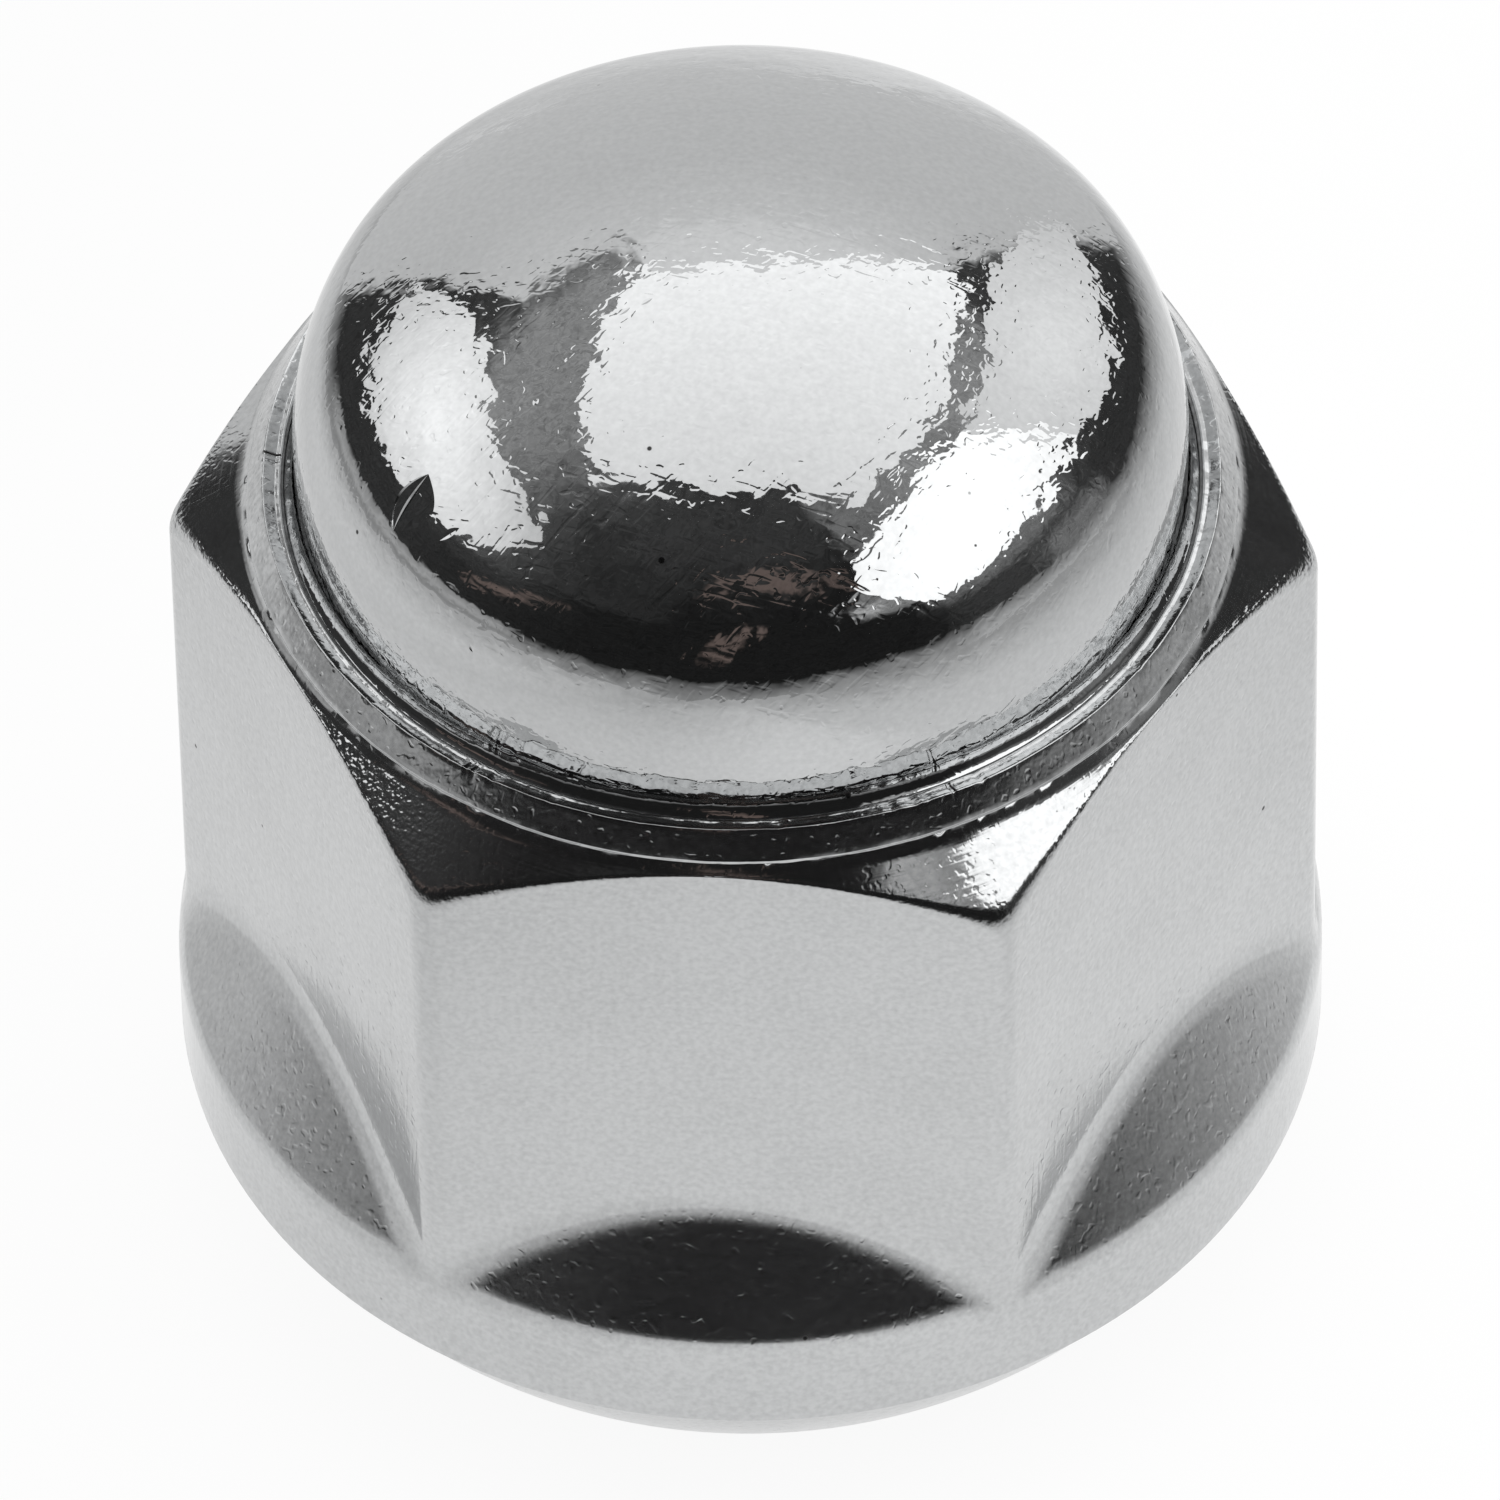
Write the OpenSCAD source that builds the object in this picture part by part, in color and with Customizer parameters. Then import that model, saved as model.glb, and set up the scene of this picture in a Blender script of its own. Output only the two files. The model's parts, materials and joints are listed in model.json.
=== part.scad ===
// Closed wheel lug nut: a forged hexagon body with a ball-seat collar, and a
// pressed dome cap that a rolled lip holds on the body. Millimetres, +Z up,
// origin at the centre of the end face that points to the wheel.

/* [Hexagon] */
// Width across flats, the wrench size
hex_af = 19; // [17:0.5:22]
// Radius of the rounded vertical corners
hex_corner_r = 0.66; // [0.3:0.02:1.4]
// Height of a flat, from the collar's top edge to the middle of its own top edge
hex_h = 11.55; // [9:0.05:20]
// Slope of the turned chamfer above the flats, from the horizontal
chamfer_angle = 38.5; // [25:0.5:50]

/* [Collar] */
// How far the collar stands out past the flats
collar_reach = 1.5; // [1.3:0.05:3]
// Height of the collar's straight band
collar_band_h = 2.4; // [1:0.1:5]
// Broken edge under the collar
collar_edge = 0.17; // [0.05:0.01:0.4]
// Lean of the scallop at the foot of each flat, from the vertical
scallop_lean = 36; // [25:1:50]
// Radius that blends the scallop up into the flat
scallop_blend_r = 2; // [0.5:0.1:2.5]

/* [Ball seat] */
// Radius of the ball that the seat is part of
seat_ball_r = 12; // [11:0.5:14]
// Diameter of the flat end face inside the seat
seat_face_d = 15.3; // [14.4:0.1:17]
// Height of the seat
seat_h = 3.9; // [2:0.1:6]

/* [Thread] */
// Major diameter of the stud's thread
thread_d = 12; // [10:1:13]
// Pitch of the thread
thread_pitch = 1.5; // [1:0.25:2]
// How far the countersinks open past the thread's major radius
countersink_reach = 0.4; // [0.1:0.05:0.6]

/* [Rolled lip] */
// How far the lip's outside is set in from the flats
step_inset = 0.11; // [0.05:0.01:0.4]
// Height of the straight step below the rolled part
step_h = 0.32; // [0.15:0.01:0.5]
// Thickness of the lip's wall
lip_wall = 0.6; // [0.4:0.05:1]
// How far the lip is rolled in over the cap's rim
lip_overhang = 0.1; // [0.05:0.01:0.25]
// Width of the lip's crest
lip_crest_w = 0.37; // [0.2:0.01:0.5]
// Height of the crest's outer edge above its inner edge
lip_crest_rise = 0.13; // [0:0.01:0.25]
// Depth of the counterbore below the flats' top edge
counterbore_depth = 0.6; // [0.3:0.05:1]

/* [Dome cap] */
// Thickness of the pressed sheet
cap_wall = 1; // [0.6:0.05:1.4]
// Height of the rim's straight edge, down in the counterbore
rim_h = 1.15; // [0.9:0.05:1.3]
// How far the rim flares out past the skirt
rim_reach = 0.35; // [0.2:0.01:0.6]
// Radius of the flare
flare_r = 1.2; // [0.8:0.05:1.6]
// Height at which the skirt turns into the shoulder, above the flats' top edge
skirt_h = 2.05; // [1.6:0.05:5]
// Radius of the shoulder
shoulder_r = 3.65; // [1.8:0.05:5]
// Radius of the crown
crown_r = 13; // [11:0.5:30]
// Clearance between the rim and the lip that closes over it
crimp_gap = 0.02; // [0.01:0.01:0.05]

/* [Hidden] */
$fn = 96;

// How much further a cutting shape runs than what it cuts
over = 1;
// The blend starts this far inside the flat, so that it meets it at a slight angle
blend_sink = 0.02;
// Radial depth of a metric thread for each millimetre of pitch: 5/8 of the sharp height
thread_depth_per_pitch = 5 / 8 * sqrt(3) / 2;

// Hexagon
flat_r = hex_af / 2;
corner_centre_r = (flat_r - hex_corner_r) / cos(30);
corner_far_r = flat_r / cos(30);

// Heights of the body
collar_low_z = seat_h + collar_edge;
collar_top_z = collar_low_z + collar_band_h;
hex_top_z = collar_top_z + hex_h;

// Collar and scallop
collar_r = flat_r + collar_reach;
blend_centre_r = flat_r - blend_sink + scallop_blend_r;
blend_foot_r = blend_centre_r - scallop_blend_r * cos(scallop_lean);
blend_foot_z = collar_top_z + (collar_r - blend_foot_r) / tan(scallop_lean);
blend_top_z = blend_foot_z + scallop_blend_r * sin(scallop_lean);

// Ball seat
seat_face_r = seat_face_d / 2;
seat_centre_z = sqrt(pow(seat_ball_r, 2) - pow(seat_face_r, 2));

// Threaded bore
bore_r = thread_d / 2 - thread_pitch * thread_depth_per_pitch;
countersink_r = thread_d / 2 + countersink_reach;
countersink_h = countersink_r - bore_r;

// Counterbore, cap rim and the lip rolled over it
step_r = flat_r - step_inset;
counterbore_r = step_r - lip_wall;
counterbore_z = hex_top_z - counterbore_depth;
rim_r = counterbore_r - crimp_gap;
skirt_r = rim_r - rim_reach;
flare_centre_r = skirt_r + flare_r;
flare_centre_z = counterbore_z + rim_h + flare_drop(rim_r, 0);
lip_inner_r = counterbore_r - lip_overhang;
lip_under_z = flare_centre_z - flare_drop(counterbore_r, crimp_gap);
lip_inner_z = flare_centre_z - flare_drop(lip_inner_r, crimp_gap);
lip_outer_r = lip_inner_r + lip_crest_w;
lip_outer_z = lip_inner_z + lip_crest_rise;

// Dome, as a crown that runs smoothly into a tighter shoulder
shoulder_z = hex_top_z + skirt_h;
shoulder_centre_r = skirt_r - shoulder_r;
crown_centre_z = shoulder_z - sqrt(pow(crown_r - shoulder_r, 2) - pow(shoulder_centre_r, 2));
crown_half_angle = asin(shoulder_centre_r / (crown_r - shoulder_r));

// Depth of the flare below its centre at radius r, with a clearance taken off it
function flare_drop(r, gap) = sqrt(pow(flare_r - gap, 2) - pow(flare_centre_r - r, 2));

// Height of the chamfer's cone at radius r
function chamfer_z(r) = hex_top_z - (r - flat_r) * tan(chamfer_angle);

// Hexagon with rounded corners and two flats square to Y
module rounded_hexagon() {
    for (i = [0:5])
        rotate(60 * i)
            translate([corner_centre_r, 0])
                circle(r = hex_corner_r);
    polygon([
        for (i = [0:5], side = [-30, 30])
            corner_centre_r * [cos(60 * i), sin(60 * i)]
                + hex_corner_r * [cos(60 * i + side), sin(60 * i + side)]
    ]);
}

// Half section of what the lathe leaves of the bar: chamfer, step and lip
module head_section() {
    polygon([
        [0, seat_h],
        [corner_far_r, seat_h],
        [corner_far_r, chamfer_z(corner_far_r)],
        [step_r, chamfer_z(step_r)],
        [step_r, hex_top_z + step_h],
        [lip_outer_r, lip_outer_z],
        [lip_inner_r, lip_inner_z],
        [0, lip_inner_z]
    ]);
}

// Half section of the collar, with the scallop's cone and blend above it
module collar_section() {
    difference() {
        polygon([
            [0, seat_h],
            [collar_r - collar_edge, seat_h],
            [collar_r, collar_low_z],
            [collar_r, collar_top_z],
            [blend_foot_r, blend_foot_z],
            [blend_foot_r, blend_top_z],
            [0, blend_top_z]
        ]);
        translate([blend_centre_r, blend_top_z])
            circle(r = scallop_blend_r);
    }
}

// Half section of the ball seat
module seat_section() {
    intersection() {
        translate([0, seat_centre_z])
            circle(r = seat_ball_r);
        square([collar_r - collar_edge, seat_h]);
    }
}

// Half section of all that is bored out: countersinks, thread core and counterbore
module bore_section() {
    polygon([
        [0, -over],
        [countersink_r + over, -over],
        [bore_r, countersink_h],
        [bore_r, counterbore_z - countersink_h],
        [countersink_r, counterbore_z],
        [counterbore_r, counterbore_z],
        [counterbore_r, lip_under_z],
        [lip_inner_r, lip_inner_z],
        [lip_inner_r, lip_outer_z + over],
        [0, lip_outer_z + over]
    ]);
}

// Forged and turned body
module nut_body() {
    color([0.76, 0.77, 0.78])
        difference() {
            union() {
                intersection() {
                    translate([0, 0, seat_h])
                        linear_extrude(lip_outer_z - seat_h + over)
                            rounded_hexagon();
                    rotate_extrude() head_section();
                }
                rotate_extrude() collar_section();
                rotate_extrude() seat_section();
            }
            rotate_extrude() bore_section();
        }
}

// Half section of the dome, drawn in from the outside by an inset
module dome_section(inset) {
    translate([0, counterbore_z])
        square([skirt_r - inset, shoulder_z - counterbore_z]);
    intersection() {
        translate([shoulder_centre_r, shoulder_z])
            circle(r = shoulder_r - inset);
        translate([0, shoulder_z])
            square([skirt_r, shoulder_r]);
    }
    intersection() {
        translate([0, crown_centre_z])
            circle(r = crown_r - inset);
        polygon([
            [0, shoulder_z],
            [shoulder_centre_r, shoulder_z],
            [crown_r * tan(crown_half_angle), crown_centre_z + crown_r],
            [0, crown_centre_z + crown_r]
        ]);
    }
}

// Half section of the flared rim
module rim_section() {
    difference() {
        translate([0, counterbore_z])
            square([rim_r, flare_centre_z - counterbore_z]);
        translate([flare_centre_r, flare_centre_z])
            circle(r = flare_r);
    }
}

// Pressed cap: crown, shoulder, skirt and flared rim
module dome_cap() {
    color([0.84, 0.85, 0.86])
        difference() {
            union() {
                rotate_extrude() dome_section(0);
                rotate_extrude() rim_section();
            }
            rotate_extrude() dome_section(cap_wall);
            translate([0, 0, counterbore_z - over])
                cylinder(r = skirt_r - cap_wall, h = 2 * over);
        }
}

nut_body();
dome_cap();
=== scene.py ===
# %% [markdown]
# # A closed lug nut in chromed steel
#
# The real nut is two pieces: a forged body that is machined and threaded, and a pressed dome cap that a
# rolled lip holds on top. Both are plated with chrome, which is a mirror, so nearly all that the eye sees is
# the room around the nut. That sets the order of this lesson: the camera, the studio that the chrome
# reflects, the finishes, and then the two pieces as dense, smooth meshes whose edges are truly rounded.

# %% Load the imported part
import json
import math
import random

import bmesh
import bpy
import numpy as np
from mathutils import Euler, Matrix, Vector, noise

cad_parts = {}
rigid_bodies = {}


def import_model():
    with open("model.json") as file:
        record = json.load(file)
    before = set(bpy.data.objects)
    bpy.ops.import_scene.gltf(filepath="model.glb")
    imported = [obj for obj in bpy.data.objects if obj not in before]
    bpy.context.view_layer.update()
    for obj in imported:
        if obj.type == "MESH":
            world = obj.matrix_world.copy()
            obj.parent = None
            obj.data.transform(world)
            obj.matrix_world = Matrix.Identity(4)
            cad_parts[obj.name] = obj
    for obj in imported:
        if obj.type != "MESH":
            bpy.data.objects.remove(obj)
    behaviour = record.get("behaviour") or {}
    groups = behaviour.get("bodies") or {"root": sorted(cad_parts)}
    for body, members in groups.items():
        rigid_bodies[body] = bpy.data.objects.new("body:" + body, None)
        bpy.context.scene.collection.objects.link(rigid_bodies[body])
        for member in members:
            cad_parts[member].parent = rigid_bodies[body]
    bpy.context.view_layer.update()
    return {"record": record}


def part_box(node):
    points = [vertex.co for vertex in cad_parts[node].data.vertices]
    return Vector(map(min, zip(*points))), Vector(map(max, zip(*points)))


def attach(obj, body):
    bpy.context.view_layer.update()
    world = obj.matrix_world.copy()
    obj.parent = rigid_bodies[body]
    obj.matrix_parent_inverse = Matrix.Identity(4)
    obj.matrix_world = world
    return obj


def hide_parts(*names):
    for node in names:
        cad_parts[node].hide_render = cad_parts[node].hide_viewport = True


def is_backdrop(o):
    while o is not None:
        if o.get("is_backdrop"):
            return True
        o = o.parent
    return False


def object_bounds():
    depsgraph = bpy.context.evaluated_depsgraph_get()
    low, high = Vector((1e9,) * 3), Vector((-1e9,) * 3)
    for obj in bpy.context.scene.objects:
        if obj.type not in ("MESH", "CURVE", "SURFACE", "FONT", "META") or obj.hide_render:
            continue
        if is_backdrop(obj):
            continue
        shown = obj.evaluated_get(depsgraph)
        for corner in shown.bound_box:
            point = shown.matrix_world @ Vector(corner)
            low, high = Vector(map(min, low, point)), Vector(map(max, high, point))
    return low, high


MM = 0.001

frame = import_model()
_, body_high = (np.array(corner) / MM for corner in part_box("nut_body"))
cap_low, cap_high = (np.array(corner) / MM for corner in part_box("dome_cap"))
mounts = {mount["name"]: mount for mount in frame["record"]["mounts"]}

# %% [markdown]
# ## The sizes that both pieces share
#
# The solids already have the true form, so the visual meshes follow the same sizes. What the frame can tell
# is read from it: the collar's radius and the heights come from the nodes' boxes, and the thread's core
# radius from its mount. The rest are the drawing's own numbers, in millimetres and degrees.

# %% Sizes of the nut
COLLAR_R = body_high[0]
LIP_TOP_Z = body_high[2]
DOME_TOP_Z = cap_high[2]
RIM_LOW_Z = cap_low[2]
RIM_R = cap_high[0]
BORE_R = mounts["stud_thread"]["dims"]["r_mm"]

FLAT_R = 9.5  # half the width across the flats
CORNER_R = 0.66  # round of the hexagon's six upright edges
HEX_TOP_Z = RIM_LOW_Z + 0.6
COLLAR_LOW_Z = 4.07
COLLAR_TOP_Z = COLLAR_LOW_Z + 2.4
COLLAR_EDGE = 0.17  # small chamfer round the collar's foot
CHAMFER_SLOPE = math.tan(math.radians(37.8))
SCALLOP_LEAN = math.radians(31.6)  # of the scallop's cone from upright
SEAT_BALL_R = 12.0
SEAT_FACE_R = 7.65  # where the ball seat meets the end face
SEAT_H = 3.9
print("hexagon's top edge at", round(HEX_TOP_Z, 2), "mm, dome's top at", round(DOME_TOP_Z, 2), "mm")

# %% [markdown]
# ## The camera
#
# The nut is small and is seen through a long lens from well above, so it shows hardly any perspective. A
# camera on a sphere round the nut is easiest to steer: a heading, a height angle, a distance, the point it
# looks at and a slight roll. The focal length then sets how large the nut stands in a square frame.

# %% Camera
CAMERA_HEADING = 4.34
CAMERA_HEIGHT_ANGLE = 48.49
CAMERA_ROLL = -1.11
CAMERA_DISTANCE = 432.1
CAMERA_TARGET = Vector((0.06, 0.0, 10.87))
LENS = 543.6
SENSOR = 36
CLIP_START = 0.01


def direction(heading, height_angle):
    """Unit vector from the nut towards a heading, counted from -Y towards +X, and a height angle."""
    a, e = math.radians(heading), math.radians(height_angle)
    return Vector((math.sin(a) * math.cos(e), -math.cos(a) * math.cos(e), math.sin(e)))


camera = bpy.data.objects.new("camera", bpy.data.cameras.new("camera"))
bpy.context.collection.objects.link(camera)
towards_camera = direction(CAMERA_HEADING, CAMERA_HEIGHT_ANGLE)
camera.location = (CAMERA_TARGET + towards_camera * CAMERA_DISTANCE) * MM
camera.rotation_mode = "QUATERNION"
roll = Euler((0, 0, math.radians(CAMERA_ROLL))).to_quaternion()
camera.rotation_quaternion = towards_camera.to_track_quat("Z", "Y") @ roll
camera.data.lens = LENS
camera.data.sensor_width = SENSOR
camera.data.clip_start = CLIP_START
bpy.context.scene.camera = camera
bpy.context.scene.view_settings.view_transform = "Standard"
print("camera stands", round(camera.location.length, 3), "m from the nut's foot")

# %% [markdown]
# ## Shader maths as plain Python
#
# A node tree is a formula drawn with boxes. Writing it as Python expressions keeps it readable: a Value
# wraps one output socket, and adding or multiplying two of them adds the Math node that does it. Any other
# node comes from one method, which sets the node's options first and its sockets second.


# %% The two helpers behind every material
class Value:
    """One output socket, on which +, -, * and / add Math nodes."""

    def __init__(self, shader, socket):
        self.shader = shader
        self.socket = socket

    def math(self, operation, *others):
        """Adds a Math node with this value first."""
        return self.shader.add("ShaderNodeMath", {"operation": operation}, self, *others)

    def __add__(self, other):
        return self.math("ADD", other)

    __radd__ = __add__

    def __mul__(self, other):
        return self.math("MULTIPLY", other)

    __rmul__ = __mul__

    def __sub__(self, other):
        return self.math("SUBTRACT", other)

    def __rsub__(self, other):
        return self.shader.add("ShaderNodeMath", {"operation": "SUBTRACT"}, other, self)

    def __truediv__(self, other):
        return self.math("DIVIDE", other)

    def __neg__(self):
        return -1.0 * self

    def above(self, low, high):
        """0 below low, 1 above high, and a smooth rise between."""
        options = {"interpolation_type": "SMOOTHSTEP", "clamp": True}
        return self.shader.add("ShaderNodeMapRange", options, self, low, high, 0.0, 1.0)

    def below(self, low, high):
        """1 below low, 0 above high, and a smooth fall between."""
        return 1.0 - self.above(low, high)

    def ramp(self, low, high):
        """0 at low, 1 at high, held outside them, and a straight line between."""
        return self.shader.add("ShaderNodeMapRange", {"clamp": True}, self, low, high, 0.0, 1.0)

    def near(self, middle, half, soft):
        """1 within half of the middle, fading to 0 over soft."""
        return (self - middle).math("ABSOLUTE").below(half, half + soft)


class Shader:
    """Builds one node tree, for a material or the world."""

    def __init__(self, owner):
        owner.use_nodes = True
        self.tree = owner.node_tree
        self.tree.nodes.clear()

    def node(self, kind, options=None, *inputs, **named):
        """Adds a node: its options first, then its sockets by position and by name."""
        made = self.tree.nodes.new(kind)
        for option, value in (options or {}).items():
            setattr(made, option, value)
        enabled = [socket for socket in made.inputs if socket.enabled]
        wanted = list(zip(enabled, inputs))
        wanted += [(made.inputs[name.replace("_", " ")], value) for name, value in named.items()]
        for socket, value in wanted:
            if isinstance(value, Value):
                self.tree.links.new(value.socket, socket)
            else:
                socket.default_value = value
        return made

    def add(self, kind, options=None, *inputs, output=None, **named):
        """Adds a node and returns one of its outputs as a Value, the first shown one unless named."""
        made = self.node(kind, options, *inputs, **named)
        if output is not None:
            return Value(self, made.outputs[output])
        return Value(self, next(socket for socket in made.outputs if socket.enabled))

    def vector(self, operation, *inputs, output=None, **named):
        """Adds a Vector Math node."""
        return self.add("ShaderNodeVectorMath", {"operation": operation}, *inputs, output=output, **named)

    def mix(self, factor, first, second):
        """Blends two colours, each a Value or three numbers."""
        first, second = ((*c, 1.0) if isinstance(c, tuple) else c for c in (first, second))
        return self.add("ShaderNodeMix", {"data_type": "RGBA"}, factor, first, second)

    def grey(self, value):
        """A Value from 0 to 1 as a neutral colour."""
        return self.mix(value, (0.0, 0.0, 0.0), (1.0, 1.0, 1.0))

    def axes(self, vector):
        """The three parts of a vector as Values."""
        split = self.node("ShaderNodeSeparateXYZ", None, vector)
        return [Value(self, socket) for socket in split.outputs]


print("shader helpers ready")

# %% [markdown]
# ## The studio
#
# Chrome has no colour of its own to speak of, so the studio is as much a part of its look as the plating.
# Small bright parts are photographed on a white sheet under large softboxes, in a dark room with one pale
# wall: the softboxes give the bright patches, and the dark room gives the black bands that draw the form.
# Here the room is a wide tent round the nut that only reflections can see, the softboxes are bright panels
# inside it, and an even sky lights the sheet. Every direction is given as the nut sees it, as a heading from
# the camera and a height angle.

# %% Studio helper
TENT_RADIUS = 0.9
PANEL_DISTANCE = 0.6
SHEET_RADIUS = 0.16

studio = []


def stage_mesh(name, points, faces, material):
    """A mesh of the studio. It is no part of the nut."""
    mesh = bpy.data.meshes.new(name)
    mesh.from_pydata([tuple(p) for p in points], [], faces)
    mesh.materials.append(material)
    material.cycles.emission_sampling = "NONE"
    made = bpy.data.objects.new(name, mesh)
    bpy.context.collection.objects.link(made)
    made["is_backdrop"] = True
    studio.append(made)
    return made


print("tent", TENT_RADIUS, "m, softboxes", PANEL_DISTANCE, "m and sheet", SHEET_RADIUS, "m round the nut")

# %% [markdown]
# ### Softboxes
#
# The edge of a softbox is the edge of a bright patch on the chrome, so each panel is an outline with a corner
# wherever that edge bends. One function turns an outline of directions into a fan of triangles with its own
# cloth. A cloth is brightest in its middle, and the top one is brighter the farther it is from the camera.


# %% Softboxes
def panel_material(name, level, fall_off, backwards):
    """A softbox's cloth, weaker by fall_off at its rim and brighter by backwards away from the camera."""
    material = bpy.data.materials.new(name)
    s = Shader(material)
    place = s.add("ShaderNodeTexCoord", None, output="Generated")
    from_middle = s.vector("LENGTH", s.vector("SUBTRACT", place, (0.5, 0.5, 0.5)), output="Value")
    _, behind, _ = s.axes(s.add("ShaderNodeTexCoord", None, output="Object"))
    glow = level * (1.0 - fall_off * from_middle) + (backwards / PANEL_DISTANCE) * behind
    brightest = level + backwards
    light = s.add("ShaderNodeEmission", None, s.grey(glow / brightest), brightest)
    s.node("ShaderNodeOutputMaterial", None, Surface=light)
    return material


def softbox(name, corners, level, fall_off=0.25, backwards=0.0):
    """A bright panel whose corners are seen from the nut at these headings and height angles."""
    points = [direction(CAMERA_HEADING + h, e) * PANEL_DISTANCE for h, e in corners]
    middle = sum(points, Vector()) / len(points)
    count = len(points)
    fan = [(i, (i + 1) % count, count) for i in range(count)]
    made = stage_mesh(name, points + [middle], fan, panel_material(name, level, fall_off, backwards))
    made.visible_camera = False
    return made


LEFT_CORNERS = [
    (-140, 20), (-130, 20.5), (-120, 25), (-110, 30.5), (-100, 36), (-90, 41), (-84, 45), (-80, 49),
    (-75, 55), (-78, 57), (-90, 54.5), (-100, 52), (-110, 50), (-120, 46), (-130, 42), (-137, 35),
]
RIGHT_CORNERS = [
    (52, 38), (50, 45), (48, 53), (45, 59), (43, 63), (50, 64.5), (60, 64.8), (70, 64), (80, 63.3),
    (88, 62), (95, 60.5), (104, 55), (108, 44), (111, 34), (105, 36.5), (98, 39.5), (91, 41.5), (85, 42.5),
    (75, 41), (60, 39),
]
RIGHT_BACK_CORNERS = [
    (104, 55), (112, 52), (120, 48), (128, 44.5), (134, 40.5), (140, 34.5), (144, 30), (147, 20), (149, 9),
    (145, 11), (140, 14.5), (135, 18), (130, 20), (125, 22), (120, 26), (115, 30), (111, 34), (108, 44),
]
TOP_CORNERS = [
    (0, 83), (40, 82), (50, 79), (56, 76), (63, 73), (70, 70), (80, 68.5), (90, 66.5), (100, 63),
    (110, 58.5), (120, 53.5), (130, 48.5), (137, 42.5), (142, 38.5), (150, 42), (160, 49), (180, 53),
    (-165, 52), (-158, 50), (-150, 54), (-140, 57.5), (-130, 61), (-120, 62.5), (-110, 64.5), (-100, 65.5),
    (-90, 67), (-80, 71.5), (-70, 76.5), (-60, 79.5), (-40, 82),
]
softbox("softbox_left", LEFT_CORNERS, level=1.6, fall_off=0.6)
softbox("softbox_right", RIGHT_CORNERS, level=2.0)
softbox("softbox_right_back", RIGHT_BACK_CORNERS, level=1.28, fall_off=0.35)
softbox("softbox_top", TOP_CORNERS, level=1.2, fall_off=0.0, backwards=0.6)
print("softboxes:", len(studio))

# %% [markdown]
# ### The white sheet and the sky
#
# The sheet is the only thing that the nut's shadow falls on. Its colour also has painted light and shade: it
# is painted greyer away from the nut and the light, less so behind it, and lighter or darker from side to
# side. To the camera and to reflections it also glows a little, as an overexposed white does, so it stays
# pale close to the nut and keeps a light shadow; the glow that reflections see carries the same painted light
# and shade. From below it is clear, so that the nut's foot can be looked at. An even sky lights it and is
# hidden from reflections, which have the tent instead.

# %% Sheet and sky
SHEET_Z = -0.02 * MM
SHEET_POINTS = 96
SHEET_COLOUR = 0.88
SHEET_GLOW_SEEN = 0.9
SHEET_GLOW_MIRRORED = 0.65
# painted light and shade in the sheet's colour and in the glow that reflections see
PAINTED_FOOT_LEVEL = 1.09  # brightness of the sheet right round the nut
PAINTED_FAR_DROP = 0.38  # and how much it loses far away
PAINTED_BACK_GAIN = 0.28  # of which this much comes back behind the nut
SKY_LEVEL = 1.0


def painted_sheet_light(x, y):
    """Painted light and shade in the sheet's colour at a place, with distances as shares of its radius."""
    across, along = x / SHEET_RADIUS, y / SHEET_RADIUS
    distance = (across * across + along * along).math("SQRT")
    behind = (along - 1.6 * across.math("ABSOLUTE")).above(0.0, 0.3)
    level = PAINTED_FOOT_LEVEL - 0.11 * distance.ramp(0.1, 0.15)
    level = level - distance.ramp(0.12, 0.75) * (PAINTED_FAR_DROP - PAINTED_BACK_GAIN * behind)
    right = 0.12 * across.ramp(0.09, 0.12) + 0.14 * across.ramp(0.2, 0.5)
    left = 0.03 * (-across).ramp(0.055, 0.1) - 0.12 * (-across).ramp(0.2, 0.3)
    return level * (0.92 + 0.14 * across.ramp(-0.05, 0.05) - right - left)


def sheet_material():
    """White cloth with painted light and shade and a glow, clear to a camera that looks up from below."""
    material = bpy.data.materials.new("white_sheet")
    s = Shader(material)
    x, y, _ = s.axes(s.add("ShaderNodeTexCoord", None, output="Object"))
    # painted light and shade in the sheet's colour and in its glow for reflections
    level = painted_sheet_light(x, y)
    path = s.node("ShaderNodeLightPath")
    seen, mirrored = Value(s, path.outputs["Is Camera Ray"]), Value(s, path.outputs["Is Glossy Ray"])
    cloth = s.add("ShaderNodeBsdfDiffuse", None, s.grey(SHEET_COLOUR * level))
    glow = s.add("ShaderNodeEmission", None, s.grey((level + seen).math("MINIMUM", 1.0)), 1.0)
    glowing = SHEET_GLOW_SEEN * seen + SHEET_GLOW_MIRRORED * mirrored
    surface = s.add("ShaderNodeMixShader", None, glowing, cloth, glow)
    from_below = seen * s.add("ShaderNodeNewGeometry", None, output="Backfacing")
    nothing = s.add("ShaderNodeBsdfTransparent", None, (1.0, 1.0, 1.0, 1.0))
    surface = s.add("ShaderNodeMixShader", None, from_below, surface, nothing)
    s.node("ShaderNodeOutputMaterial", None, Surface=surface)
    return material


turn = [math.tau * i / SHEET_POINTS for i in range(SHEET_POINTS)]
rim = [(SHEET_RADIUS * math.cos(t), SHEET_RADIUS * math.sin(t), SHEET_Z) for t in turn]
stage_mesh("white_sheet", rim, [tuple(range(SHEET_POINTS))], sheet_material())

world = bpy.data.worlds.new("world")
bpy.context.scene.world = world
world.cycles_visibility.glossy = False
sky = Shader(world)
even = sky.add("ShaderNodeBackground", None, (1, 1, 1, 1), SKY_LEVEL)
sky.node("ShaderNodeOutputWorld", None, Surface=even)
print("studio pieces:", [o.name for o in studio])

# %% [markdown]
# ## The dark room and its pale wall
#
# The tent is a plain ball turned inside out. Its paint is worked out from the direction alone: dark cloth in
# front, a paler strip beside the softboxes, a grey wall behind, and the far part of the table below a soft
# line just above the horizon. A few warm smudges stand for what else is in the room. Each of these has its
# own function, and its numbers are headings, height angles and levels from 0 to 1.

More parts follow.
